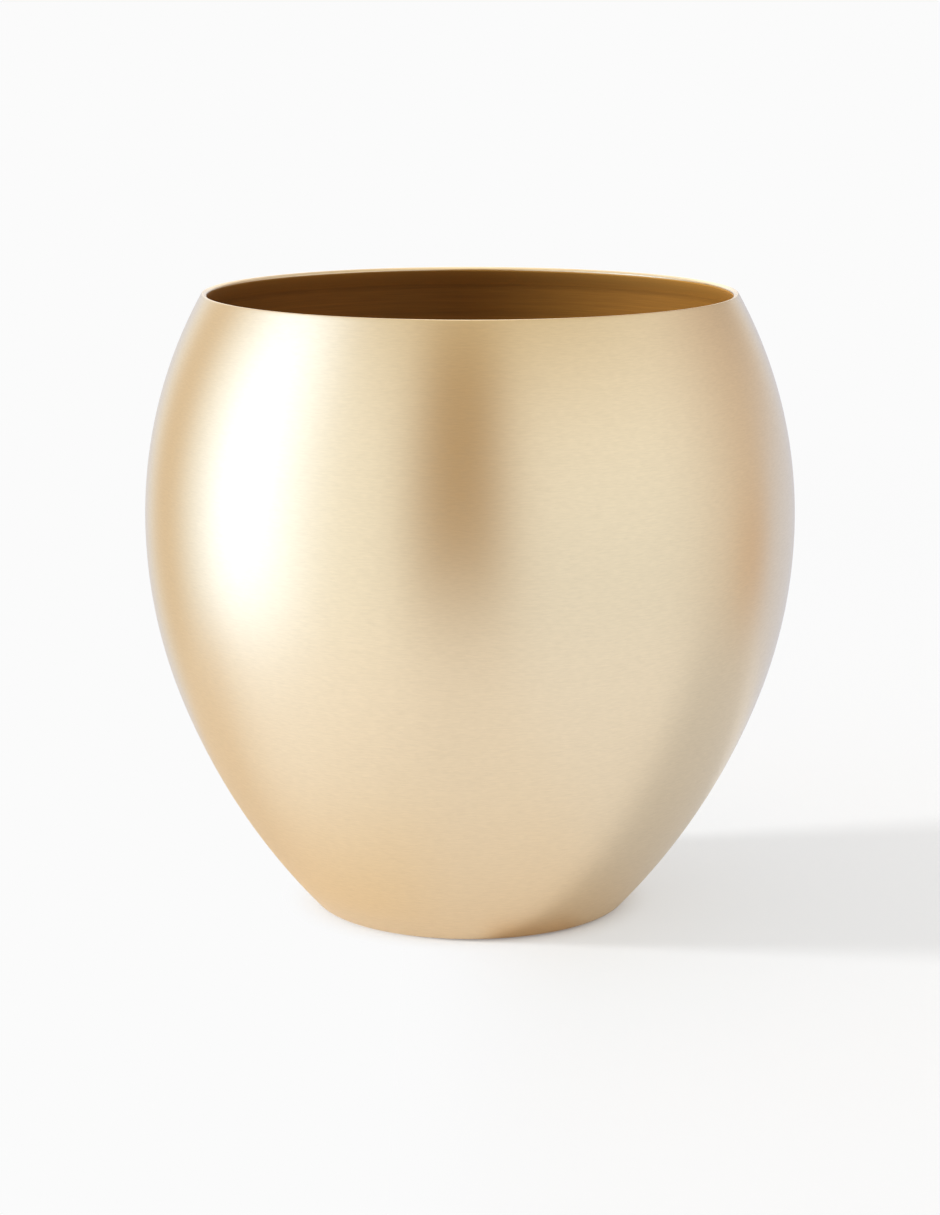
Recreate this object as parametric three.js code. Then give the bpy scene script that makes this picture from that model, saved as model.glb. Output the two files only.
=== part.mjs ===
// Egg-shaped flower pot of spun brass sheet: an upper shell and a lower bowl butt-welded at the belly,
// the weld ground flush outside, its edge folded in at the mouth, standing on four felt pads.
// Millimetres, +Z up, origin on the floor at the middle of the foot.
import * as THREE from "three";

// Driving dimensions of the outside.
const HEIGHT = 292; // floor to the top of the lip
const BELLY_DIAMETER = 305; // widest line, where the two halves meet
const BELLY_HEIGHT = 185.6; // of that line above the floor
const MOUTH_DIAMETER = 248.8; // across the outside of the shoulder, where its curve reaches full height
const FOOT_DIAMETER = 148.8; // across the corner that the flank would have if it were sharp
const BELLY_ARC_RADIUS = 234.5; // of the curve that runs down from the belly
const BELLY_ARC_TURN = 20.3; // degrees that it turns before the flatter flank takes over

// Driving dimensions of the sheet, of its folded edge and of the bottom.
const SHEET = 1.5;
const LIP = 2.8; // across the lip, where the sheet is folded on itself and pressed a little thinner
const FOLD = 9; // length of the folded edge, which is dressed down to nothing at its end
const FOOT_BEND_RADIUS = 1.5; // inside the corner between flank and bottom
const KICK_UP = 2.5; // height of the bottom's middle above its standing ring
const KICK_RAMP = 18; // width of the slope between the two

// Driving dimensions of the weld and of the pads.
const WELD_WIDTH = 2.4; // of the gap between the halves that the filler closes
const WELD_ROOT = 0.6; // by which the bead stands proud inside
const PAD_DIAMETER = 16;
const PAD_THICKNESS = 1;
const PAD_EDGE_RADIUS = 0.3;
const PAD_MARGIN = 3; // flat sheet left bare on each side of a pad
const PAD_COUNT = 4;

// Fineness of the facets.
const CHORD_ERROR = 0.08; // most that a facet of a profile may cut inside its arc
const POT_SEGMENTS = 80;
const PAD_SEGMENTS = 24;
const ROOT_STEPS = 4; // across the weld bead

// Radii and heights that follow.
const bellyRadius = BELLY_DIAMETER / 2;
const mouthRadius = MOUTH_DIAMETER / 2;
const footRadius = FOOT_DIAMETER / 2;
const footLevel = PAD_THICKNESS; // underside of the metal
const footCornerRadius = FOOT_BEND_RADIUS + SHEET;

const point = (r, z) => new THREE.Vector2(r, z);

// A circular arc of a profile in the plane of radius (x) and height (y). Its angle is that of the
// outward normal. A negative radius bends the other way, so the same formulas serve a hollow curve.
class Arc {
  constructor(centre, radius, from, to) {
    Object.assign(this, { centre, radius, from, to });
  }

  at(angle) {
    const r = this.radius;
    return point(this.centre.x + r * Math.cos(angle), this.centre.y + r * Math.sin(angle));
  }

  // The angle at which the arc passes a height, on the side that faces outwards.
  angleAtHeight(z) {
    return Math.asin((z - this.centre.y) / this.radius);
  }

  // The same stretch of wall on a parallel surface, a distance further in.
  inset(distance) {
    return new Arc(this.centre, this.radius - distance, this.from, this.to);
  }

  // The stretch between two heights.
  between(low, high) {
    return new Arc(this.centre, this.radius, this.angleAtHeight(low), this.angleAtHeight(high));
  }

  reversed() {
    return new Arc(this.centre, this.radius, this.to, this.from);
  }

  points(steps) {
    const turn = this.to - this.from;
    const list = [];
    for (let i = 0; i <= steps; i++) {
      list.push(this.at(this.from + (turn * i) / steps));
    }
    return list;
  }
}

// Facets that an arc needs on the outer side of the sheet. Both sides of the sheet get the same number.
function stepsFor(arc) {
  const facetTurn = 2 * Math.acos(1 - CHORD_ERROR / Math.abs(arc.radius));
  return Math.max(2, Math.ceil(Math.abs(arc.to - arc.from) / facetTurn));
}

// Shoulder: one arc, upright at the belly, that reaches the mouth's radius at full height. It ends
// where the round of the lip begins.
function shoulderArc() {
  const inwards = bellyRadius - mouthRadius;
  const upwards = HEIGHT - BELLY_HEIGHT;
  const radius = (inwards * inwards + upwards * upwards) / (2 * inwards);
  const centre = point(bellyRadius - radius, BELLY_HEIGHT);
  const lipCentreHeight = HEIGHT - LIP / 2;
  return new Arc(centre, radius, 0, Math.asin((lipCentreHeight - BELLY_HEIGHT) / (radius - LIP / 2)));
}

// The wall's inner side at the shoulder, up to where the folded edge runs out.
function shoulderInside(outside) {
  const inside = outside.inset(SHEET);
  inside.to -= FOLD / outside.radius;
  return inside;
}

// Lip: one round over the fold, in two stretches that meet at its highest point. It ends where a
// straight line to the end of the fold touches it.
function lipArcs(outside, inside) {
  const centre = outside.inset(LIP / 2).at(outside.to);
  const top = Math.PI / 2;
  const toFoldEnd = inside.at(inside.to).sub(centre);
  const touch = toFoldEnd.angle() - Math.acos(LIP / 2 / toFoldEnd.length());
  return [new Arc(centre, LIP / 2, outside.to, top), new Arc(centre, LIP / 2, top, touch)];
}

// Below the belly: upright at the belly, turning inwards at a steady rate.
function bellyArc() {
  const centre = point(bellyRadius - BELLY_ARC_RADIUS, BELLY_HEIGHT);
  return new Arc(centre, BELLY_ARC_RADIUS, -THREE.MathUtils.degToRad(BELLY_ARC_TURN), 0);
}

// Flank: carries on from the belly arc without a kink and aims at the foot's sharp corner, where the
// foot corner then cuts it short.
function flankArc(above) {
  const start = above.at(above.from);
  const inwards = point(-Math.cos(above.from), -Math.sin(above.from));
  const toFoot = point(footRadius, footLevel).sub(start);
  const radius = toFoot.lengthSq() / (2 * toFoot.dot(inwards));
  const centre = start.clone().addScaledVector(inwards, radius);
  const reach = radius - footCornerRadius;
  const drop = footLevel + footCornerRadius - centre.y;
  return new Arc(centre, radius, Math.asin(drop / reach), above.from);
}

// Foot corner: rolls from the flat bottom into the flank.
function footCorner(above) {
  const centre = above.inset(footCornerRadius).at(above.from);
  return new Arc(centre, footCornerRadius, -Math.PI / 2, above.from);
}

// Bottom: a flat standing ring as wide as a pad and its margins, then two equal arcs that lift the
// middle. Returned from the foot corner inwards.
function bottomArcs(cornerCentre) {
  const ringInner = cornerCentre.x - (PAD_DIAMETER + 2 * PAD_MARGIN);
  const turn = 2 * Math.atan(KICK_UP / KICK_RAMP);
  const radius = KICK_RAMP / 2 / Math.sin(turn);
  const down = -Math.PI / 2;
  const rise = new Arc(point(ringInner, footLevel + radius), radius, down, down - turn);
  const levelOff = new Arc(
    point(ringInner - KICK_RAMP, footLevel + KICK_UP - radius),
    -radius,
    down - turn,
    down,
  );
  return [rise, levelOff];
}

const shoulder = shoulderArc();
const innerShoulder = shoulderInside(shoulder);
const lip = lipArcs(shoulder, innerShoulder);
const belly = bellyArc();
const flank = flankArc(belly);
const corner = footCorner(flank);
const [kickRise, kickLevel] = bottomArcs(corner.centre);
const floorUnderside = footLevel + KICK_UP;
const weldLow = BELLY_HEIGHT - WELD_WIDTH / 2;
const weldHigh = BELLY_HEIGHT + WELD_WIDTH / 2;

// Revolves a profile in (radius, height) about the vertical axis.
function spun(profile, segments) {
  return new THREE.LatheGeometry(profile, segments).rotateX(Math.PI / 2);
}

// Both sides of a wall that follows some arcs: out along the outer side, back along the inner one.
function wallSides(arcs) {
  const outer = [];
  const inner = [];
  for (const [outerArc, innerArc] of arcs) {
    const steps = stepsFor(outerArc);
    outer.push(...outerArc.points(steps));
    inner.unshift(...innerArc.reversed().points(steps));
  }
  return { outer, inner };
}

// Drops a point that repeats the one before it, as two arcs that meet do.
function withoutRepeats(profile) {
  const NEAR = 1e-6;
  return profile.filter((p, i) => i === 0 || p.distanceTo(profile[i - 1]) > NEAR);
}

// Upper shell: a level edge at the weld, up the outside, round the lip and down the inside.
function upperShell() {
  const outerArc = new Arc(shoulder.centre, shoulder.radius, shoulder.angleAtHeight(weldHigh), shoulder.to);
  const lowest = innerShoulder.angleAtHeight(weldHigh);
  const innerArc = new Arc(innerShoulder.centre, innerShoulder.radius, lowest, innerShoulder.to);
  const { outer, inner } = wallSides([[outerArc, innerArc]]);
  const round = lip.flatMap((arc) => arc.points(stepsFor(arc)));
  const profile = [...outer, ...round, ...inner, outer[0]];
  return spun(withoutRepeats(profile), POT_SEGMENTS);
}

// Lower bowl: from the middle of the underside out and up to a level edge at the weld, and back down
// the inside to the middle of the floor.
function lowerBowl() {
  const bellyOuter = new Arc(belly.centre, belly.radius, belly.from, belly.angleAtHeight(weldLow));
  const bellyInner = belly.inset(SHEET);
  bellyInner.to = bellyInner.angleAtHeight(weldLow);
  const { outer, inner } = wallSides([
    [kickLevel.reversed(), kickLevel.inset(SHEET).reversed()],
    [kickRise.reversed(), kickRise.inset(SHEET).reversed()],
    [corner, corner.inset(SHEET)],
    [flank, flank.inset(SHEET)],
    [bellyOuter, bellyInner],
  ]);
  const profile = [point(0, floorUnderside), ...outer, ...inner, point(0, floorUnderside + SHEET)];
  return spun(withoutRepeats(profile), POT_SEGMENTS);
}

// Belly weld: level faces against both shells, flush outside, a rounded root inside.
function bellyWeld() {
  const lower = belly.between(weldLow, BELLY_HEIGHT);
  const upper = shoulder.between(BELLY_HEIGHT, weldHigh);
  const innerHigh = shoulder.inset(SHEET).between(BELLY_HEIGHT, weldHigh);
  const innerLow = belly.inset(SHEET).between(weldLow, BELLY_HEIGHT);
  const top = innerHigh.at(innerHigh.to);
  const foot = innerLow.at(innerLow.from);
  const middle = bellyRadius - SHEET - WELD_ROOT;
  const pull = point(2 * middle - (top.x + foot.x) / 2, BELLY_HEIGHT);
  const root = new THREE.QuadraticBezierCurve(top, pull, foot).getPoints(ROOT_STEPS);
  const profile = [...lower.points(1), ...upper.points(1), ...root, lower.at(lower.from)];
  return spun(withoutRepeats(profile), POT_SEGMENTS);
}

// Foot pad: a disc of felt with a softened lower edge, flat on top where it is stuck on.
function footPad() {
  const radius = PAD_DIAMETER / 2;
  const edge = new Arc(point(radius - PAD_EDGE_RADIUS, PAD_EDGE_RADIUS), PAD_EDGE_RADIUS, -Math.PI / 2, 0);
  const top = [point(radius, PAD_THICKNESS), point(0, PAD_THICKNESS)];
  const profile = [point(0, 0), ...edge.points(stepsFor(edge)), ...top];
  return spun(profile, PAD_SEGMENTS);
}

function brushedBrass() {
  return new THREE.MeshStandardMaterial({ color: 0xe5d3b6, roughness: 0.42, metalness: 1 });
}

function weldBrass() {
  return new THREE.MeshStandardMaterial({ color: 0xb08a4e, roughness: 0.5, metalness: 1 });
}

function brownFelt() {
  return new THREE.MeshStandardMaterial({ color: 0x4a3f36, roughness: 0.95, metalness: 0 });
}

function piece(name, geometry, material) {
  const mesh = new THREE.Mesh(geometry, material);
  mesh.name = name;
  return mesh;
}

// The pads stand on the middle of the standing ring, evenly round it, none straight ahead.
function footPads() {
  const group = new THREE.Group();
  const padCircle = corner.centre.x - PAD_DIAMETER / 2 - PAD_MARGIN;
  for (let i = 0; i < PAD_COUNT; i++) {
    const angle = ((i + 0.5) / PAD_COUNT) * 2 * Math.PI;
    const pad = piece(`foot_pad_${i + 1}`, footPad(), brownFelt());
    pad.position.set(padCircle * Math.cos(angle), padCircle * Math.sin(angle), 0);
    group.add(pad);
  }
  return group;
}

const pot = new THREE.Group();
pot.add(
  piece("upper_shell", upperShell(), brushedBrass()),
  piece("belly_weld", bellyWeld(), weldBrass()),
  piece("lower_bowl", lowerBowl(), brushedBrass()),
  footPads(),
);

export default pot;
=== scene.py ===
# %% [markdown]
# # A spun brass flower pot
#
# This lesson dresses one egg-shaped pot of thin brushed brass. Its measured solids come from the
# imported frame, and every piece made here lies exactly where its solid lies, in metres, with +Z up.

# %% Load the frame
import math

import bmesh
import bpy
import numpy as np
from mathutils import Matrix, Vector


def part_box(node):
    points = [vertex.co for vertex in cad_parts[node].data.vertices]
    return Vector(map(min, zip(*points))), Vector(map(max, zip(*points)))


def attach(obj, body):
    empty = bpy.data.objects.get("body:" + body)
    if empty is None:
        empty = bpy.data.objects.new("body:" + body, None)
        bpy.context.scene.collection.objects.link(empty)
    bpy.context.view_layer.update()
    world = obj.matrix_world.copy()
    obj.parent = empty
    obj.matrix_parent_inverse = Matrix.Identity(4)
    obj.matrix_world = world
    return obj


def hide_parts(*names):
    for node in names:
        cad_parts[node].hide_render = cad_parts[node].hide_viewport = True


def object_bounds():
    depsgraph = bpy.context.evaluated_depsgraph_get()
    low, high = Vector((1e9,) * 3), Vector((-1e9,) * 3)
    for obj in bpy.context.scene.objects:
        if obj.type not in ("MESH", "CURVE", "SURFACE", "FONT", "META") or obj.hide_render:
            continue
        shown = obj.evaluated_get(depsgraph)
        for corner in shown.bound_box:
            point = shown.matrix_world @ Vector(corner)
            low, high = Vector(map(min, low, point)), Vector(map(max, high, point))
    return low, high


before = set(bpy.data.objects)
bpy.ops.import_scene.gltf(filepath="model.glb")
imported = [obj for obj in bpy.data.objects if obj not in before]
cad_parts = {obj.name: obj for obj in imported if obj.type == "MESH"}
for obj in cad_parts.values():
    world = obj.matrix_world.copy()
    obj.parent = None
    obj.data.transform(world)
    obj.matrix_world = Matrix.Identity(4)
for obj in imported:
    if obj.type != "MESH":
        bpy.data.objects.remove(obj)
cad_low, cad_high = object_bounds()
print("solids:", sorted(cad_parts))
print("box of the solids in mm:", [round(1000 * v, 2) for v in (*cad_low, *cad_high)])

# %% [markdown]
# ## The camera
#
# The pot was photographed from a little above its rim, with a long lens that keeps its sides from
# leaning. The distance, height and lens were found by laying the outline of the real sizes over the
# outline of the photograph until both agreed to less than a pixel.

# %% Camera
CAMERA_DISTANCE = 1.3701
CAMERA_HEIGHT = 0.4268
AIM_HEIGHT = 0.1417
LENS_MM = 87.23

camera = bpy.data.objects.new("camera", bpy.data.cameras.new("camera"))
bpy.context.scene.collection.objects.link(camera)
camera.location = (0, -CAMERA_DISTANCE, CAMERA_HEIGHT)
look_down = math.atan2(CAMERA_HEIGHT - AIM_HEIGHT, CAMERA_DISTANCE)
camera.rotation_euler = (math.pi / 2 - look_down, 0, 0)
camera.data.sensor_width = 36
camera.data.lens = LENS_MM
bpy.context.scene.camera = camera
bpy.context.scene.view_settings.view_transform = "Standard"
print("camera looks down by", round(math.degrees(look_down), 2), "degrees")

# %% [markdown]
# ## Small helpers
#
# Colours are written as the sRGB values that a colour picker shows, and one function turns them to
# the linear light that the shaders work in. Another adds a node to a tree, with its settings, the
# values of its inputs and the links into it, so that a material reads as a list of steps.


# %% Colour and node helpers
def linear(hex_colour):
    """An sRGB colour such as "#d9b983" as linear red, green, blue and alpha."""
    parts = [int(hex_colour[i : i + 2], 16) / 255 for i in (1, 3, 5)]
    return (*[c / 12.92 if c <= 0.04045 else ((c + 0.055) / 1.055) ** 2.4 for c in parts], 1)


def add(tree, kind, inputs=None, **settings):
    """Adds a node. Inputs are given by name or number, each a value or the output that feeds it."""
    node = tree.nodes.new(kind)
    for key, value in settings.items():
        setattr(node, key, value)
    for key, value in (inputs or {}).items():
        if isinstance(value, bpy.types.NodeSocket):
            tree.links.new(value, node.inputs[key])
        else:
            node.inputs[key].default_value = value
    return node


# %% [markdown]
# ## The section of the wall
#
# A spun pot is a body of revolution: a disc of sheet is pressed against a turning former until it
# takes the former's outline. So the whole shape is one section, and the section is a chain of arcs
# that meet without a kink: bottom, foot corner, flank, belly and shoulder. The sheet keeps its
# thickness, so the inside is the same chain moved inwards along its normals.

# %% Sizes of the section
BELLY_RADIUS = cad_high.x
HEIGHT = cad_high.z
WELD_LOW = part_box("belly_weld")[0].z
WELD_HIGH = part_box("belly_weld")[1].z
BELLY_HEIGHT = (WELD_LOW + WELD_HIGH) / 2
FOOT_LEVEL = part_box("lower_bowl")[0].z
MOUTH_RADIUS = 0.1244
FOOT_RADIUS = 0.0744
BELLY_ARC_RADIUS = 0.2345
BELLY_ARC_TURN = math.radians(20.3)
SHEET = 0.0015
LIP = 0.0028
LIP_CORNER = 0.0008
FOLD = 0.009
FOOT_CORNER_RADIUS = 0.003
STANDING_RING = 0.022
KICK_UP = 0.0025
KICK_RAMP = 0.018
STEP = 0.0016
print("belly at", round(1000 * BELLY_HEIGHT, 2), "mm, radius", round(1000 * BELLY_RADIUS, 2), "mm")


# %% Arcs of the section
def arc(centre, radius, start, stop, least_steps=5):
    """Points and outward normals along an arc in the plane of radius and height.

    The angles are those of the outward normal. A negative radius bends the other way.
    """
    steps = max(least_steps, round(abs(radius * (stop - start)) / STEP))
    turn = np.linspace(start, stop, steps + 1)
    normals = np.column_stack([np.cos(turn), np.sin(turn)])
    return np.array(centre) + radius * normals, normals


def joined(*arcs):
    """Arcs that follow each other as one chain, without the points that they share."""
    points = [arcs[0][0]] + [a[0][1:] for a in arcs[1:]]
    normals = [arcs[0][1]] + [a[1][1:] for a in arcs[1:]]
    return np.concatenate(points), np.concatenate(normals)


rise = HEIGHT - BELLY_HEIGHT
narrowing = BELLY_RADIUS - MOUTH_RADIUS
shoulder_radius = (narrowing**2 + rise**2) / (2 * narrowing)
shoulder_centre = (BELLY_RADIUS - shoulder_radius, BELLY_HEIGHT)

lip_reach = shoulder_radius - LIP / 2
lip_start = math.asin((rise - LIP / 2) / lip_reach)
lip_centre = np.array([shoulder_centre[0] + lip_reach * math.cos(lip_start), HEIGHT - LIP / 2])
fold_end = lip_start - FOLD / shoulder_radius
corner_reach = shoulder_radius - LIP_CORNER
corner_start = math.asin((rise - LIP_CORNER) / corner_reach)
lip_corner = np.array([shoulder_centre[0] + corner_reach * math.cos(corner_start), HEIGHT - LIP_CORNER])

belly_centre = np.array([BELLY_RADIUS - BELLY_ARC_RADIUS, BELLY_HEIGHT])
handover = belly_centre + BELLY_ARC_RADIUS * np.array([math.cos(BELLY_ARC_TURN), -math.sin(BELLY_ARC_TURN)])
inwards = np.array([-math.cos(BELLY_ARC_TURN), math.sin(BELLY_ARC_TURN)])
to_foot = np.array([FOOT_RADIUS, FOOT_LEVEL]) - handover
flank_radius = to_foot @ to_foot / (2 * to_foot @ inwards)
flank_centre = handover + flank_radius * inwards
corner_height = FOOT_LEVEL + FOOT_CORNER_RADIUS
corner_turn = math.asin((corner_height - flank_centre[1]) / (flank_radius - FOOT_CORNER_RADIUS))
corner_x = flank_centre[0] + (flank_radius - FOOT_CORNER_RADIUS) * math.cos(corner_turn)

kick_turn = 2 * math.atan(KICK_UP / KICK_RAMP)
kick_radius = KICK_RAMP / 2 / math.sin(kick_turn)
ring_inner = corner_x - STANDING_RING
DOWN = -math.pi / 2
print("shoulder arc", round(1000 * shoulder_radius, 1), "mm, flank arc", round(1000 * flank_radius, 1), "mm")


# %% Section of each half
def upper_section(stop):
    """The shoulder from the weld to where the lip begins, or inside to where the fold ends."""
    start = math.asin((WELD_HIGH - BELLY_HEIGHT) / shoulder_radius)
    return arc(shoulder_centre, shoulder_radius, start, stop)


def lower_section():
    """The bottom, foot corner, flank and belly, from the middle of the underside to the weld."""
    middle_x = ring_inner - KICK_RAMP
    stop = math.asin((WELD_LOW - BELLY_HEIGHT) / BELLY_ARC_RADIUS)
    flat_x = np.linspace(0, middle_x, 8)
    ring_x = np.linspace(ring_inner, corner_x, 8)
    flat = np.column_stack([flat_x, np.full(8, FOOT_LEVEL + KICK_UP)]), np.tile([0.0, -1.0], (8, 1))
    ring = np.column_stack([ring_x, np.full(8, FOOT_LEVEL)]), np.tile([0.0, -1.0], (8, 1))
    level_off = arc((middle_x, FOOT_LEVEL + KICK_UP - kick_radius), -kick_radius, DOWN, DOWN - kick_turn, 10)
    ramp = arc((ring_inner, FOOT_LEVEL + kick_radius), kick_radius, DOWN - kick_turn, DOWN, 10)
    corner = arc((corner_x, corner_height), FOOT_CORNER_RADIUS, DOWN, corner_turn, 12)
    flank = arc(flank_centre, flank_radius, corner_turn, -BELLY_ARC_TURN)
    belly = arc(belly_centre, BELLY_ARC_RADIUS, -BELLY_ARC_TURN, stop)
    return joined(flat, level_off, ramp, ring, corner, flank, belly)


def along(points):
    """Distance of each point along the wall, signed and measured from the belly."""
    lengths = np.linalg.norm(np.diff(points, axis=0), axis=1)
    run = np.concatenate([[0], np.cumsum(lengths)])
    nearest = np.argmin(np.abs(points[:, 1] - BELLY_HEIGHT))
    return run - run[nearest] + points[nearest, 1] - BELLY_HEIGHT


upper_points, upper_normals = upper_section(corner_start)
lower_points, lower_normals = lower_section()
print("points on one side:", len(upper_points), "above the weld,", len(lower_points), "below it")

# %% [markdown]
# ## Turning the section into a wall
#
# The real maker turns the sheet on a lathe, and Geometry Nodes can do the same: the section is drawn
# as an outline, and Curve to Mesh sweeps it round a circle. The sweep keeps two numbers on every
# point, the distance along the wall and whether the point lies inside the pot, so that the brushing
# can follow the wall and the inside can have its own finish. bmesh could spin the outline too, but
# the nodes leave the number of steps round the pot as an input that can be changed.


# %% The lathe as a node tree
def lathe_tree():
    """Sweeps an outline, drawn as x = radius and y = -height, round the Z axis."""
    tree = bpy.data.node_groups.new("lathe", "GeometryNodeTree")
    face = tree.interface
    face.new_socket("Outline", in_out="INPUT", socket_type="NodeSocketGeometry")
    face.new_socket("Steps round", in_out="INPUT", socket_type="NodeSocketInt")
    face.new_socket("Sharp over", in_out="INPUT", socket_type="NodeSocketFloat")
    face.new_socket("Outer finish", in_out="INPUT", socket_type="NodeSocketMaterial")
    face.new_socket("Inner finish", in_out="INPUT", socket_type="NodeSocketMaterial")
    face.new_socket("Wall", in_out="OUTPUT", socket_type="NodeSocketGeometry")
    given = add(tree, "NodeGroupInput").outputs

    # The path is a circle of one metre, so the outline is moved in by a metre before the sweep.
    path = add(tree, "GeometryNodeCurvePrimitiveCircle", {"Resolution": given["Steps round"], "Radius": 1.0})
    upright = add(tree, "GeometryNodeSetCurveNormal", {"Curve": path.outputs["Curve"]}, mode="Z_UP")
    outline = add(tree, "GeometryNodeMeshToCurve", {"Mesh": given["Outline"]})
    moved = {"Geometry": outline.outputs["Curve"], "Translation": (-1, 0, 0)}
    moved = add(tree, "GeometryNodeTransform", moved)
    swept = {"Curve": upright.outputs["Curve"], "Profile Curve": moved.outputs["Geometry"]}
    swept = add(tree, "GeometryNodeCurveToMesh", swept)
    flipped = add(tree, "GeometryNodeFlipFaces", {"Mesh": swept.outputs["Mesh"]})
    closed = {"Geometry": flipped.outputs["Mesh"], "Distance": 1e-5}
    closed = add(tree, "GeometryNodeMergeByDistance", closed)

    # Smooth everywhere but at the square corners of the sheet.
    smooth = add(tree, "GeometryNodeSetShadeSmooth", {"Geometry": closed.outputs["Geometry"]})
    angle = add(tree, "GeometryNodeInputMeshEdgeAngle").outputs["Unsigned Angle"]
    sharp = add(tree, "FunctionNodeCompare", {0: angle, 1: given["Sharp over"]}, operation="GREATER_THAN")
    creased = {"Geometry": smooth.outputs["Geometry"], "Selection": sharp.outputs["Result"]}
    creased = add(tree, "GeometryNodeSetShadeSmooth", {**creased, "Shade Smooth": False}, domain="EDGE")
    real = add(tree, "GeometryNodeRealizeInstances", {"Geometry": creased.outputs["Geometry"]})

    # A face is inside when all of its corners are.
    inside = add(tree, "GeometryNodeInputNamedAttribute", {"Name": "inside"}, data_type="FLOAT")
    within = {0: inside.outputs["Attribute"], 1: 0.75}
    within = add(tree, "FunctionNodeCompare", within, operation="GREATER_THAN").outputs["Result"]
    outer = {"Geometry": real.outputs["Geometry"], "Material": given["Outer finish"]}
    outer = add(tree, "GeometryNodeSetMaterial", outer).outputs["Geometry"]
    inner = {"Geometry": outer, "Selection": within, "Material": given["Inner finish"]}
    inner = add(tree, "GeometryNodeSetMaterial", inner)
    add(tree, "NodeGroupOutput", {"Wall": inner.outputs["Geometry"]})
    return tree


LATHE = lathe_tree()
STEPS_ROUND = 288
print("the lathe tree has", len(LATHE.nodes), "nodes")


# %% Running a tree
def socket_id(tree, name):
    """The identifier of a tree's named input, by which a modifier sets it."""
    return next(s.identifier for s in tree.interface.items_tree if s.name == name and s.in_out == "INPUT")


def baked(name, source, tree, values):
    """Runs a tree on a mesh and returns the result as a plain object with no modifier."""
    maker = bpy.data.objects.new(name + "_maker", source)
    bpy.context.scene.collection.objects.link(maker)
    modifier = maker.modifiers.new("nodes", "NODES")
    modifier.node_group = tree
    for key, value in values.items():
        modifier[socket_id(tree, key)] = value
    graph = bpy.context.evaluated_depsgraph_get()
    mesh = bpy.data.meshes.new_from_object(maker.evaluated_get(graph))
    bpy.data.objects.remove(maker)
    mesh.name = name
    piece = bpy.data.objects.new(name, mesh)
    bpy.context.scene.collection.objects.link(piece)
    return piece


def drawn(name, outline, numbers, closes):
    """An outline of (radius, height) as a mesh of edges, with named numbers on its points."""
    count = len(outline)
    edges = [(i, i + 1) for i in range(count - 1)]
    if closes:
        edges.append((count - 1, 0))
    mesh = bpy.data.meshes.new(name + "_outline")
    mesh.from_pydata([(r, -z, 0) for r, z in outline], edges, [])
    for label, values in numbers.items():
        layer = mesh.attributes.new(label, "FLOAT", "POINT")
        layer.data.foreach_set("value", np.asarray(values, np.float32))
    return mesh


def litres(piece):
    """The volume that the faces enclose, positive when they face outwards, and the count of open edges."""
    shape = bmesh.new()
    shape.from_mesh(piece.data)
    volume = 1000 * shape.calc_volume(signed=True)
    open_edges = sum(1 for edge in shape.edges if len(edge.link_faces) != 2)
    shape.free()
    return round(volume, 4), open_edges


# %% A piece from the lathe
def spun(name, outside, inside, run_outside, run_inside, finishes, closes):
    """Spins an outer and an inner line, joined end to end, into a piece with two finishes."""
    numbers = {
        "along": np.concatenate([run_outside, run_inside]),
        "inside": np.concatenate([np.zeros(len(outside)), np.ones(len(inside))]),
    }
    outline = drawn(name, np.concatenate([outside, inside]), numbers, closes)
    values = {
        "Steps round": STEPS_ROUND,
        "Sharp over": math.radians(40),
        "Outer finish": finishes[0],
        "Inner finish": finishes[1],
    }
    piece = baked(name, outline, LATHE, values)
    volume, open_edges = litres(piece)
    faces = len(piece.data.polygons)
    print(name, "has", faces, "faces,", volume, "litres of metal and", open_edges, "open edges")
    return piece


# %% [markdown]
# ## Brass that is worked on a lathe
#
# Everything that touches the turning pot leaves its marks round it: the abrasive that brushes the
# outside, and the roller that pressed the inside. So all the brass finishes are one recipe with
# different numbers. Short strokes and full rings are noise that is stretched along the marks and
# fine across them, on the pot's own coordinates: x and y for the way round, and the distance along
# the wall for the way across. They tint the metal, vary its roughness and tilt its surface.
#
# The marks are also why the metal is anisotropic. Light spreads across the scratches and hardly
# along them, so a lamp shows as an upright band on the belly, as in the photograph. The tangent
# runs level round the pot everywhere, also on the bottom.
#
# Real scratches of this finish are about 0.05 mm wide, far below one pixel. They are drawn ten to
# twenty times coarser, so that a little of their shimmer is left at the size of a picture.


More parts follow.
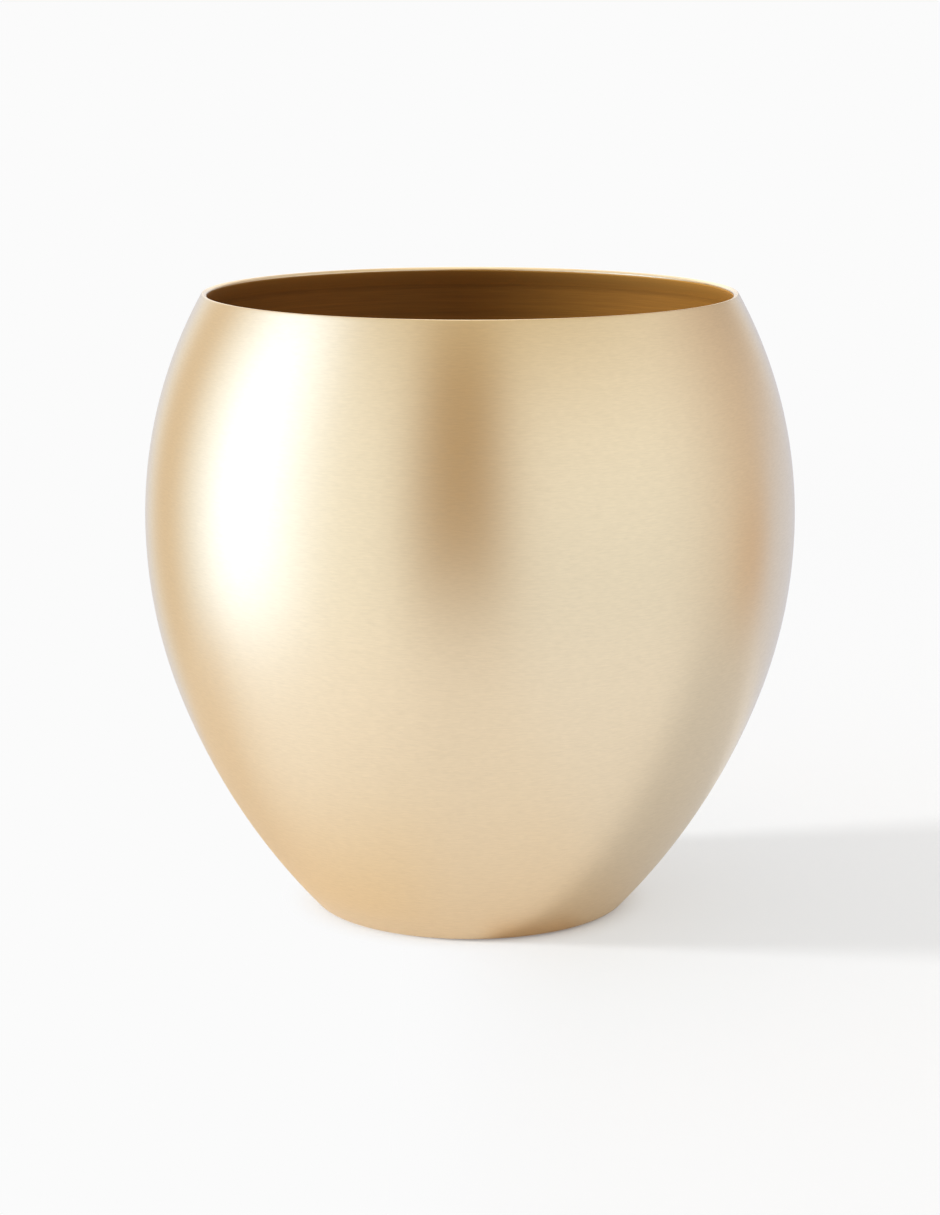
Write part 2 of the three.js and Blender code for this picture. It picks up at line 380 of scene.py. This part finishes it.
# %% The recipe
def turned_brass(name, colour, metal, roughness, spread, stroke, rings, shade, depth, painted_lip_light=None):
    """Brass with marks round the pot.

    stroke is the length and pitch of the short marks, rings the pitch of the full rings and their
    share in the whole, all in metres; shade is how far the tint swings, depth how deep it all is.
    painted_lip_light: a stretch along the wall in metres, and the paler tint the metal passes to, painted
    light.
    """
    material = bpy.data.materials.new(name)
    material.use_nodes = True
    tree = material.node_tree
    tree.nodes.clear()
    place = add(tree, "ShaderNodeTexCoord").outputs["Object"]
    level = add(tree, "ShaderNodeVectorMath", {0: (0, 0, 1), 1: place}, operation="CROSS_PRODUCT")
    parts = add(tree, "ShaderNodeSeparateXYZ", {0: place}).outputs
    run = add(tree, "ShaderNodeAttribute", attribute_name="along").outputs["Fac"]
    wall = add(tree, "ShaderNodeCombineXYZ", {"X": parts["X"], "Y": parts["Y"], "Z": run})
    length, pitch = stroke
    fine = {0: wall.outputs[0], 1: (1 / length, 1 / length, 1 / pitch)}
    fine = add(tree, "ShaderNodeVectorMath", fine, operation="MULTIPLY")
    strokes = add(tree, "ShaderNodeTexNoise", {"Vector": fine.outputs[0], "Scale": 1.0, "Detail": 2.0})
    ring_pitch, ring_share = rings
    turns = {"W": run, "Scale": 1 / ring_pitch, "Detail": 3.0}
    turns = add(tree, "ShaderNodeTexNoise", turns, noise_dimensions="1D")
    marks = {0: ring_share, 2: strokes.outputs["Fac"], 3: turns.outputs["Fac"]}
    marks = add(tree, "ShaderNodeMix", marks, data_type="FLOAT").outputs[0]

    red, green, blue, _ = linear(colour)
    darker = tuple(c * (1 - shade) for c in (red, green, blue)) + (1,)
    lighter = tuple(min(1, c * (1 + shade)) for c in (red, green, blue)) + (1,)
    tint = add(tree, "ShaderNodeMix", {0: marks, 6: darker, 7: lighter}, data_type="RGBA").outputs[2]
    # Painted light: over a stretch near the lip the tint passes to a paler one.
    if painted_lip_light:
        start, end, pale = painted_lip_light
        share = add(tree, "ShaderNodeMapRange", {"Value": run, "From Min": start, "From Max": end}).outputs[0]
        tint = add(tree, "ShaderNodeMix", {0: share, 6: tint, 7: linear(pale)}, data_type="RGBA").outputs[2]
    rough = {"Value": marks, "From Min": 0.2, "From Max": 0.8}
    rough = add(tree, "ShaderNodeMapRange", {**rough, "To Min": roughness + 0.03, "To Max": roughness - 0.03})
    bump = add(tree, "ShaderNodeBump", {"Height": marks, "Distance": depth, "Strength": 1.0})
    shader = {
        "Base Color": tint,
        "Metallic": metal,
        "Roughness": rough.outputs[0],
        "Anisotropic": spread,
        "Anisotropic Rotation": 0.25,
        "Tangent": level.outputs[0],
        "Normal": bump.outputs[0],
    }
    shader = add(tree, "ShaderNodeBsdfPrincipled", shader)
    add(tree, "ShaderNodeOutputMaterial", {"Surface": shader.outputs[0]})
    return material


# Brushed round the turning pot with a fine abrasive cloth and then lacquered: pale, satin, with
# soft reflections that are drawn out up and down. The short strokes give it its silky grain.
brushed = turned_brass(
    "brass, brushed outside", "#e5d3b6", 1.0, 0.357, 0.55, (0.004, 0.0006), (0.003, 0.1),
    shade=0.08, depth=2e-6,
)
# Pressed by the roller over many turns and not brushed afterwards: dull, with rings a few millimetres
# apart that show where the roller went. Its brown is darkened as painted shade, so that the mouth
# looks dark. Towards the lip it passes to a paler tint over the fold, painted light on the fold.
lip_run = along(upper_section(lip_start)[0])[-1]
spun_with_painted_light_and_shade = turned_brass(
    "brass, spun inside, with painted shade and light", "#9c6d2e", 0.35, 0.5, 0.8, (0.02, 0.0006), (0.003, 0.5),
    shade=0.45, depth=1e-5, painted_lip_light=(lip_run - FOLD, lip_run, "#b98840"),
)
# Melted and not dressed: brownish, rough and uneven.
as_welded = turned_brass(
    "brass, left as welded", "#8a6a3a", 0.6, 0.55, 0.2, (0.003, 0.003), (0.002, 0.2),
    shade=0.4, depth=1e-4,
)
print("brass finishes:", brushed.name, "|", spun_with_painted_light_and_shade.name, "|", as_welded.name)

# %% [markdown]
# ## Waves of the roller
#
# A spinner lays the sheet down in strokes, and the inside keeps a trace of each: waves a few
# hundredths of a millimetre deep and about a centimetre apart. They are far too low to see as a
# shape, but they bend the reflections in the inner wall. They die out at the lip, at the weld and
# towards the bottom, where the sheet was clamped flat against the former.

# %% The inner line
WAVE_PITCH = 0.011
WAVE_DEPTH = 0.00003


def inner_line(points, normals, run):
    """The inside of the sheet, from the end of the outer line back to its start."""
    from_ends = np.clip(np.minimum(run - run[0], run[-1] - run) / 0.015, 0, 1)
    from_bottom = np.clip((points[:, 1] - 0.01) / 0.03, 0, 1)
    wave = WAVE_DEPTH * from_ends * from_bottom * np.sin(2 * math.pi * run / WAVE_PITCH)
    return (points - (SHEET + wave)[:, None] * normals)[::-1]


# %% [markdown]
# ## The upper shell
#
# The upper shell is the ring from the weld at the belly to the mouth. A cut edge of sheet is sharp
# and wavers, so it is folded inwards on itself, pressed shut and dressed down at its end: the lip is
# nearly two sheets thick, and a finger's breadth further down the wall is plain again. The press
# leaves it a little flat across the top, square to the wall. That flat faces away at the front of
# the mouth and shows as a pale line at the back. The cloth that brushes the outside runs over it.

# %% The lip
LEVELLED = corner_start + math.pi / 2
flat = np.array([math.cos(LEVELLED), math.sin(LEVELLED)])
outer_corner, _ = arc(lip_corner, LIP_CORNER, corner_start, LEVELLED, 8)
core = LIP / 2 - LIP_CORNER
meets = LEVELLED + math.acos(((outer_corner[-1] - lip_centre) @ flat - LIP_CORNER) / core)
inner_corner = lip_centre + core * np.array([math.cos(meets), math.sin(meets)])
inner_corner, _ = arc(inner_corner, LIP_CORNER, LEVELLED, meets, 8)
print("flat on the lip", round(1000 * np.linalg.norm(inner_corner[0] - outer_corner[-1]), 2), "mm")

# %% Upper shell
upper_run = along(upper_points)
under_points, under_normals = upper_section(fold_end)
under_run = along(under_points)
upper_inner = inner_line(under_points, under_normals, under_run)
upper_inner[-1, 1] = WELD_HIGH
to_fold_end = upper_inner[0] - lip_centre
touch = math.atan2(to_fold_end[1], to_fold_end[0]) + 2 * math.pi
touch -= math.acos(LIP / 2 / np.linalg.norm(to_fold_end))
wiped = np.concatenate([outer_corner, inner_corner])
unwiped, _ = arc(lip_centre, LIP / 2, meets, touch, 6)
slope = np.linspace(unwiped[-1], upper_inner[0], 4)
lip_inner = np.concatenate([unwiped[1:], slope[1:-1]])
wiped_run = upper_run[-1] + np.cumsum(np.linalg.norm(np.diff(wiped, axis=0, prepend=wiped[:1]), axis=1))
lip_inner_run = under_run[-1] + np.linalg.norm(lip_inner - upper_inner[0], axis=1)
upper_shell = spun(
    "upper_shell_spun",
    np.concatenate([upper_points, wiped[1:]]),
    np.concatenate([lip_inner, upper_inner]),
    np.concatenate([upper_run, wiped_run[1:]]),
    np.concatenate([lip_inner_run, under_run[::-1]]),
    (brushed, spun_with_painted_light_and_shade),
    closes=True,
)
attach(upper_shell, "root")
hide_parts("upper_shell")

# %% [markdown]
# ## The lower bowl
#
# The lower bowl is one sheet from the weld down, round the tight corner at the foot and across the
# bottom. The bottom is pushed up a little inside a flat ring, as in a metal cup, so that the pot
# can't rock on a bulge. Its outline runs from the axis to the axis, so the sweep closes it there.

# %% Lower bowl
lower_run = along(lower_points)
lower_inner = inner_line(lower_points, lower_normals, lower_run)
lower_inner[0, 1] = WELD_LOW
lower_bowl = spun(
    "lower_bowl_spun", lower_points, lower_inner, lower_run, lower_run[::-1], (brushed, spun_with_painted_light_and_shade), closes=False
)
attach(lower_bowl, "root")
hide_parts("lower_bowl")

# %% [markdown]
# ## The weld at the belly
#
# The two halves meet at the widest line. Outside, the weld is ground flush and brushed with the
# rest, and nothing of it is left to see. Inside, where no tool reaches after the pot is closed, its
# root stands a little proud and keeps the colour and the roughness of the weld.

# %% Weld
ROOT = 0.0006
half_weld = (WELD_HIGH - WELD_LOW) / 2
weld_low_arc = arc(belly_centre, BELLY_ARC_RADIUS, -math.asin(half_weld / BELLY_ARC_RADIUS), 0)
weld_high_arc = arc(shoulder_centre, shoulder_radius, 0, math.asin(half_weld / shoulder_radius))
weld_points, weld_normals = joined(weld_low_arc, weld_high_arc)
weld_run = weld_points[:, 1] - BELLY_HEIGHT
bulge = ROOT * np.sqrt(np.maximum(0, 1 - (weld_run / half_weld) ** 2))
root_points = (weld_points - (SHEET + bulge)[:, None] * weld_normals)[::-1]
root_points[0, 1] = WELD_HIGH
root_points[-1, 1] = WELD_LOW
belly_weld = spun(
    "belly_weld_ring", weld_points, root_points, weld_run, weld_run[::-1], (brushed, as_welded), closes=True
)
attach(belly_weld, "root")
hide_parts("belly_weld")

# %% [markdown]
# ## The felt under the foot
#
# Brass would scratch a table, so pads of pressed wool felt are stuck under the flat ring. Felt is
# wool that is matted under steam and pressure: no weave and no gloss, only short fibres that lie
# every way. Fine noise gives the fibres, a coarser one the uneven press, and a little sheen the
# light that catches on loose hairs.

# %% Felt
felt = bpy.data.materials.new("pressed wool felt")
felt.use_nodes = True
tree = felt.node_tree
tree.nodes.clear()
place = add(tree, "ShaderNodeTexCoord").outputs["Object"]
fibres = {"Vector": place, "Scale": 1 / 0.0004, "Detail": 4.0, "Distortion": 1.5}
fibres = add(tree, "ShaderNodeTexNoise", fibres).outputs["Fac"]
patches = {"Vector": place, "Scale": 1 / 0.004, "Detail": 2.0}
patches = add(tree, "ShaderNodeTexNoise", patches).outputs["Fac"]
mottle = add(tree, "ShaderNodeMix", {0: 0.35, 2: fibres, 3: patches}, data_type="FLOAT").outputs[0]
wool = {0: mottle, 6: linear("#2c241e"), 7: linear("#6a5a4c")}
wool = add(tree, "ShaderNodeMix", wool, data_type="RGBA").outputs[2]
matted = add(tree, "ShaderNodeBump", {"Height": fibres, "Distance": 0.0002, "Strength": 0.8}).outputs[0]
shader = {"Base Color": wool, "Roughness": 0.95, "Normal": matted, "Sheen Weight": 0.4}
shader = add(tree, "ShaderNodeBsdfPrincipled", {**shader, "Sheen Roughness": 0.6})
add(tree, "ShaderNodeOutputMaterial", {"Surface": shader.outputs[0]})

# %% [markdown]
# ## A ring of pads
#
# The pads are punched from one sheet of felt, so one pad is spun on the same lathe and a second
# tree sets copies of it out on a circle. Each copy is turned by chance about its own middle, as a
# hand would stick it on, so that no two show the same mottling to one side.


# %% The pads as a node tree
def pads_tree():
    """Sets copies of a spun outline out on a circle, each with a turn of its own."""
    tree = bpy.data.node_groups.new("ring of pads", "GeometryNodeTree")
    face = tree.interface
    face.new_socket("Pad outline", in_out="INPUT", socket_type="NodeSocketGeometry")
    face.new_socket("Pads", in_out="INPUT", socket_type="NodeSocketInt")
    face.new_socket("Circle radius", in_out="INPUT", socket_type="NodeSocketFloat")
    face.new_socket("First angle", in_out="INPUT", socket_type="NodeSocketFloat")
    face.new_socket("Steps round", in_out="INPUT", socket_type="NodeSocketInt")
    face.new_socket("Seed", in_out="INPUT", socket_type="NodeSocketInt")
    face.new_socket("Felt", in_out="INPUT", socket_type="NodeSocketMaterial")
    face.new_socket("Ring", in_out="OUTPUT", socket_type="NodeSocketGeometry")
    given = add(tree, "NodeGroupInput").outputs
    pad = {"Outline": given["Pad outline"], "Steps round": given["Steps round"], "Sharp over": 0.7}
    pad = add(tree, "GeometryNodeGroup", pad, node_tree=LATHE).outputs["Wall"]
    places = {"Vertices": given["Pads"], "Radius": given["Circle radius"]}
    places = add(tree, "GeometryNodeMeshCircle", places)
    start = add(tree, "ShaderNodeCombineXYZ", {"Z": given["First angle"]}).outputs[0]
    places = {"Geometry": places.outputs["Mesh"], "Rotation": start}
    places = add(tree, "GeometryNodeTransform", places).outputs["Geometry"]
    chance = {"Min": 0.0, "Max": 2 * math.pi, "Seed": given["Seed"]}
    chance = add(tree, "FunctionNodeRandomValue", chance, data_type="FLOAT")
    turn = add(tree, "ShaderNodeCombineXYZ", {"Z": chance.outputs[1]}).outputs[0]
    copies = add(tree, "GeometryNodeInstanceOnPoints", {"Points": places, "Instance": pad, "Rotation": turn})
    real = add(tree, "GeometryNodeRealizeInstances", {"Geometry": copies.outputs["Instances"]})
    done = {"Geometry": real.outputs["Geometry"], "Material": given["Felt"]}
    done = add(tree, "GeometryNodeSetMaterial", done)
    add(tree, "NodeGroupOutput", {"Ring": done.outputs["Geometry"]})
    return tree


# %% Pads
PAD_NODES = ["foot_pad_1", "foot_pad_2", "foot_pad_3", "foot_pad_4"]
pad_low, pad_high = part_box(PAD_NODES[0])
pad_middle = (pad_low + pad_high) / 2
PAD_RADIUS = (pad_high.x - pad_low.x) / 2
PAD_THICKNESS = pad_high.z
PAD_EDGE = 0.0003
pressed, _ = arc((PAD_RADIUS - PAD_EDGE, PAD_EDGE), PAD_EDGE, DOWN, 0, 5)
pad_outline = np.concatenate([[(0, 0)], pressed, [(PAD_RADIUS, PAD_THICKNESS), (0, PAD_THICKNESS)]])
values = {
    "Pads": len(PAD_NODES),
    "Circle radius": math.hypot(pad_middle.x, pad_middle.y),
    "First angle": math.radians(45),
    "Steps round": 64,
    "Seed": 3,
    "Felt": felt,
}
foot_pads = baked("felt_pads", drawn("pad", pad_outline, {}, closes=False), pads_tree(), values)
print("felt pads: radius", round(1000 * PAD_RADIUS, 2), "mm,", litres(foot_pads), "litres and open edges")
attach(foot_pads, "root")
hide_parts(*PAD_NODES)

# %% [markdown]
# ## The floor
#
# The pot stands on a sheet of white paper that has no visible end. Right under the foot it is matt
# paper in real light all round, so that it keeps the dark line there, and on the right it stays half
# matt paper, so that it keeps the shadow. On the left it glows up to the foot: painted light that takes
# the pot's shade off the paper. Further out it passes into an even glow of the same white, and with it
# into the white behind.
#
# The metal sees its own floor. Near the foot it is paper, brighter on the side of the softbox,
# golden on the left where the pot throws its own light back at it, cool in the shadow on the right
# and brown where that shadow begins under the edge of the foot. Behind the pot, and less than a
# metre out elsewhere, it ends, and the metal sees the studio beyond instead.

# %% Floor
WHITE = 0.965
FLOOR_HALF = 20

paper = bpy.data.materials.new("white paper")
paper.use_nodes = True
tree = paper.node_tree
tree.nodes.clear()
rays = add(tree, "ShaderNodeLightPath").outputs
mirrored = {0: rays["Is Glossy Ray"], 1: rays["Is Transmission Ray"]}
mirrored = add(tree, "ShaderNodeMath", mirrored, operation="MAXIMUM").outputs[0]
place = add(tree, "ShaderNodeTexCoord").outputs["Object"]
distance = add(tree, "ShaderNodeVectorMath", {0: place}, operation="LENGTH").outputs["Value"]
parts = add(tree, "ShaderNodeSeparateXYZ", {0: place}).outputs
# Close to the foot the paper is tinted cool: painted light that cancels the warm light which the brass throws
# on it.
cool = {"Value": distance, "From Min": 0.1, "From Max": 0.3}
cool = add(tree, "ShaderNodeMapRange", cool, interpolation_type="SMOOTHSTEP").outputs[0]
cool = {0: cool, 6: (0.92, 0.95, 0.98, 1), 7: (0.95, 0.95, 0.95, 1)}
cool = add(tree, "ShaderNodeMix", cool, data_type="RGBA").outputs[2]
matt = add(tree, "ShaderNodeBsdfDiffuse", {"Color": cool}).outputs[0]

# To the camera: paper that turns into an even glow away from the pot, and on the left side close to it
# too, as painted light that takes the pot's shade off the paper.
outwards = {"Value": distance, "From Min": 0.6, "From Max": 1.6}
aside = {"Value": parts["X"], "From Min": 0.06, "From Max": -0.03}
share = {**aside, "To Min": 0.5, "To Max": 1.0}
share = add(tree, "ShaderNodeMapRange", share, interpolation_type="SMOOTHSTEP")
share = {**outwards, "To Min": share.outputs[0], "To Max": 1.0}
share = add(tree, "ShaderNodeMapRange", share, interpolation_type="SMOOTHSTEP")
level = {**aside, "To Min": 0.93, "To Max": WHITE}
level = add(tree, "ShaderNodeMapRange", level, interpolation_type="SMOOTHSTEP")
level = {**outwards, "To Min": level.outputs[0], "To Max": WHITE}
level = add(tree, "ShaderNodeMapRange", level, interpolation_type="SMOOTHSTEP")
under = {"Value": distance, "From Min": 0.06, "From Max": 0.09, "To Max": share.outputs[0]}
share = add(tree, "ShaderNodeMapRange", under, interpolation_type="SMOOTHSTEP")
glow = add(tree, "ShaderNodeEmission", {"Strength": level.outputs[0]}).outputs[0]
to_camera = {0: share.outputs[0], 1: matt, 2: glow}
to_camera = add(tree, "ShaderNodeMixShader", to_camera).outputs[0]

# To the metal: paper with painted shade behind on the left, painted golden light on the left close to
# the foot, and painted shade in brown on a small patch at the edge of the foot.
shade = {"Value": parts["X"], "From Min": -0.04, "From Max": -0.13}
shade = add(tree, "ShaderNodeMapRange", shade, interpolation_type="SMOOTHSTEP").outputs[0]
shade = {"Value": parts["Y"], "From Min": -0.11, "From Max": 0.03, "To Max": shade}
shade = add(tree, "ShaderNodeMapRange", shade, interpolation_type="SMOOTHSTEP").outputs[0]
near = {"Value": distance, "From Min": 0.2, "From Max": 0.08}
near = add(tree, "ShaderNodeMapRange", near, interpolation_type="SMOOTHSTEP").outputs[0]
edge = {"Value": distance, "From Min": 0.088, "From Max": 0.078}
edge = add(tree, "ShaderNodeMapRange", edge, interpolation_type="SMOOTHSTEP").outputs[0]
# Painted light: the paper turns golden on the left close to the foot, for the light the pot throws back.
golden = add(tree, "ShaderNodeMapRange", {"Value": edge, "To Min": near, "To Max": 0.0}).outputs[0]
golden = {"Value": parts["X"], "From Min": 0.0, "From Max": -0.06, "To Max": golden}
golden = add(tree, "ShaderNodeMapRange", golden, interpolation_type="SMOOTHSTEP").outputs[0]
golden = {0: golden, 6: (0.95, 0.95, 0.95, 1), 7: (0.95, 0.9, 0.8, 1)}
golden = add(tree, "ShaderNodeMix", golden, data_type="RGBA").outputs[2]
# Painted shade: a brown patch where the shadow begins under the edge of the foot.
brown = {"Value": parts["X"], "From Min": 0.0, "From Max": 0.02, "To Max": edge}
brown = add(tree, "ShaderNodeMapRange", brown, interpolation_type="SMOOTHSTEP").outputs[0]
brown = {"Value": parts["X"], "From Min": 0.045, "From Max": 0.06, "To Min": brown, "To Max": 0.0}
brown = add(tree, "ShaderNodeMapRange", brown, interpolation_type="SMOOTHSTEP").outputs[0]
brown = {0: brown, 6: golden, 7: (0.84, 0.74, 0.64, 1)}
brown = add(tree, "ShaderNodeMix", brown, data_type="RGBA").outputs[2]
shaded = {0: shade, 6: brown, 7: (0.9, 0.78, 0.62, 1)}
shaded = add(tree, "ShaderNodeMix", shaded, data_type="RGBA").outputs[2]
shaded = add(tree, "ShaderNodeBsdfDiffuse", {"Color": shaded}).outputs[0]

# A little light of its own: on the side of the softbox, warm by the foot and cool in the shadow.
beside = {"Value": parts["X"], "From Min": 0.0, "From Max": -0.2, "To Min": 0.055, "To Max": 0.155}
beside = add(tree, "ShaderNodeMapRange", beside, interpolation_type="SMOOTHSTEP").outputs[0]
warmed = {0: near, 6: (1, 1, 1, 1), 7: (1, 0.5, 0.0, 1)}
warmed = add(tree, "ShaderNodeMix", warmed, data_type="RGBA").outputs[2]
right = {"Value": parts["X"], "From Min": 0.05, "From Max": 0.12}
right = add(tree, "ShaderNodeMapRange", right, interpolation_type="SMOOTHSTEP").outputs[0]
warmed = {0: right, 6: warmed, 7: (0.9, 1.3, 1.9, 1)}
warmed = add(tree, "ShaderNodeMix", warmed, data_type="RGBA").outputs[2]
beside = {"Value": shade, "To Min": beside, "To Max": 0.0}
beside = add(tree, "ShaderNodeMapRange", beside).outputs[0]
extra = add(tree, "ShaderNodeEmission", {"Color": warmed, "Strength": beside}).outputs[0]
lit = add(tree, "ShaderNodeAddShader", {0: shaded, 1: extra}).outputs[0]

# Where it ends, so that the metal looks past it into the studio.
ends = {"Value": distance, "From Min": 0.35, "From Max": 0.7}
ends = add(tree, "ShaderNodeMapRange", ends, interpolation_type="SMOOTHSTEP").outputs[0]
ends = {"Value": parts["Y"], "From Min": 0.12, "From Max": 0.25, "To Min": ends, "To Max": 1.0}
ends = add(tree, "ShaderNodeMapRange", ends, interpolation_type="SMOOTHSTEP").outputs[0]
nothing = add(tree, "ShaderNodeBsdfTransparent").outputs[0]
to_metal = add(tree, "ShaderNodeMixShader", {0: ends, 1: lit, 2: nothing}).outputs[0]

seen = {0: rays["Is Camera Ray"], 1: matt, 2: to_camera}
seen = add(tree, "ShaderNodeMixShader", seen, name="camera look").outputs[0]
both = add(tree, "ShaderNodeMixShader", {0: mirrored, 1: seen, 2: to_metal})
add(tree, "ShaderNodeOutputMaterial", {"Surface": both.outputs[0]})

corners = [(-1, -1, 0), (1, -1, 0), (1, 1, 0), (-1, 1, 0)]
floor_mesh = bpy.data.meshes.new("floor")
floor_mesh.from_pydata([Vector(corner) * FLOOR_HALF for corner in corners], [], [(0, 1, 2, 3)])
floor_mesh.materials.append(paper)
floor = bpy.data.objects.new("floor", floor_mesh)
bpy.context.scene.collection.objects.link(floor)
print("floor is", 2 * FLOOR_HALF, "m square")

# %% [markdown]
# ## The studio
#
# Polished or brushed, a metal pot shows what stands round it, and most of its look is that. The
# world is the studio as the pot sees it, written as a list of what stands there: for each thing its
# direction (0 at the camera, 90 at the right), its height in degrees above the horizon, how soft
# its four edges are, its tint and its level, where 1 is white. Later things hide earlier ones.
#
# Only reflections see it. The camera sees a white background, and matt surfaces get a plain, even
# light.

# %% Studio
AREAS = [
    ("cool wall behind", (155, 200), (-60, 12), (8, 5, 10, 6), "#dee8ff", 1.08),
    ("the same, past 180 degrees", (-200, -155), (-60, 12), (5, 8, 10, 6), "#dee8ff", 1.08),
    ("lit backdrop above it", (165, 200), (16, 68), (15, 5, 6, 12), "#fff8ee", 2.2),
    ("the same, past 180 degrees", (-200, -165), (16, 68), (5, 15, 6, 12), "#fff8ee", 2.2),
    ("dim wall behind on the left", (-145, -120), (-35, 75), (5, 5, 10, 20), "#ffe9c6", 0.84),
    ("dim wall on the right", (95, 150), (-40, 35), (30, 10, 10, 5), "#ffeedd", 0.765),
    ("its cool end, low down", (125, 158), (-60, 2), (7, 8, 10, 6), "#e6edff", 0.98),
    ("curtain above the wall", (132, 166), (14, 64), (12, 8, 8, 8), "#f5e2cc", 0.5),
    ("brown box low on the right", (106, 124), (-17, -6), (6, 6, 5, 5), "#ffd3a0", 0.7),
    ("white wall beside the softbox", (-95, -20), (-45, 40), (5, 30, 10, 40), "#fbfffd", 1.2),
    ("softbox on the left", (-103, -65), (-22, 45), (15, 20, 5, 10), "#d1e4ff", 2.75),
    ("dark gap at the camera", (-20, 12), (-15, 50), (10, 10, 5, 5), "#ffd28e", 0.48),
]

world = bpy.data.worlds.new("studio")
bpy.context.scene.world = world
world.use_nodes = True
tree = world.node_tree
tree.nodes.clear()


def tinted(tint, level):
    """A light of that tint and level."""
    red, green, blue, _ = linear(tint)
    return (red * level, green * level, blue * level, 1)


def passage(value, place, softness, before, after):
    """Goes smoothly from one number to another as the value passes a place."""
    ends = {"From Min": place - softness, "From Max": place + softness, "To Min": before, "To Max": after}
    passed = add(tree, "ShaderNodeMapRange", {"Value": value, **ends}, interpolation_type="SMOOTHSTEP")
    return passed.outputs[0]


def laid_over(below, mask, above):
    """One light over another where the mask is 1."""
    return add(tree, "ShaderNodeMix", {0: mask, 6: below, 7: above}, data_type="RGBA").outputs[2]


# The direction that a ray leaves in, in degrees round and up.
parts = add(tree, "ShaderNodeSeparateXYZ", {0: add(tree, "ShaderNodeTexCoord").outputs["Generated"]}).outputs
backwards = add(tree, "ShaderNodeMath", {0: parts["Y"], 1: -1.0}, operation="MULTIPLY").outputs[0]
turn = add(tree, "ShaderNodeMath", {0: parts["X"], 1: backwards}, operation="ARCTAN2").outputs[0]
climb = add(tree, "ShaderNodeMath", {0: parts["Z"]}, operation="ARCSINE").outputs[0]
azimuth = add(tree, "ShaderNodeMath", {0: turn}, operation="DEGREES").outputs[0]
elevation = add(tree, "ShaderNodeMath", {0: climb}, operation="DEGREES").outputs[0]

# Walls, brighter above the horizon, and a warm dimmer ceiling round a pale one straight overhead.
horizon = passage(elevation, 0, 30, 0.0, 1.0)
light = laid_over(tinted("#f8fdff", 0.985), horizon, tinted("#fbffff", 1.22))
light = laid_over(light, passage(elevation, 38, 28, 0.0, 1.0), tinted("#ffeaba", 0.73))
for name, (left, right), (bottom, top), soft, tint, level in AREAS:
    mask = passage(azimuth, left, soft[0], 0.0, 1.0)
    mask = passage(azimuth, right, soft[1], mask, 0.0)
    mask = passage(elevation, bottom, soft[2], 0.0, mask)
    mask = passage(elevation, top, soft[3], mask, 0.0)
    light = laid_over(light, mask, tinted(tint, level))

light = laid_over(light, passage(elevation, 74, 7, 0.0, 1.0), tinted("#fff2d6", 1.1))

rays = add(tree, "ShaderNodeLightPath").outputs
mirrored = {0: rays["Is Glossy Ray"], 1: rays["Is Transmission Ray"]}
mirrored = add(tree, "ShaderNodeMath", mirrored, operation="MAXIMUM").outputs[0]
plain = laid_over((0.76, 0.76, 0.76, 1), rays["Is Camera Ray"], (WHITE, WHITE, WHITE, 1))
shown = laid_over(plain, mirrored, light)
back = add(tree, "ShaderNodeBackground", {"Color": shown})
add(tree, "ShaderNodeOutputWorld", {"Surface": back.outputs[0]})
print("the studio has", len(AREAS), "things in it and", len(tree.nodes), "nodes")

# %% [markdown]
# ## The two lamps
#
# Two lights on the left do different things in the picture. A low lamp throws the long grey band of
# shadow over the floor to the right. The big softbox stands higher and shines through the mouth on
# to the inside of the right wall; because it is big, light passes into shade gradually there. The
# metal already shows the softbox as part of the studio, so neither lamp shows in a reflection, and
# each lights only its own receivers.


# %% Lamps
def sun(name, azimuth, elevation, energy, width, receivers):
    """A far lamp in a direction given in degrees, that lights only some objects."""
    lamp = bpy.data.objects.new(name, bpy.data.lights.new(name, "SUN"))
    bpy.context.scene.collection.objects.link(lamp)
    lamp.data.energy = energy
    lamp.data.angle = math.radians(width)
    lamp.visible_glossy = False
    lit = bpy.data.collections.new("lit by the " + name)
    for receiver in receivers:
        lit.objects.link(receiver)
    lamp.light_linking.receiver_collection = lit
    round_turn, climb_turn = math.radians(azimuth), math.radians(elevation)
    level = math.cos(climb_turn)
    towards = Vector((level * math.sin(round_turn), -level * math.cos(round_turn), math.sin(climb_turn)))
    lamp.rotation_euler = towards.to_track_quat("Z", "Y").to_euler()
    return lamp


sun("low lamp", -87, 10, 5.3, 8, [floor])
sun("softbox", -80, 30, 7.2, 34, [upper_shell, belly_weld, lower_bowl, foot_pads])
print("low lamp 10 degrees and softbox 30 degrees above the floor")
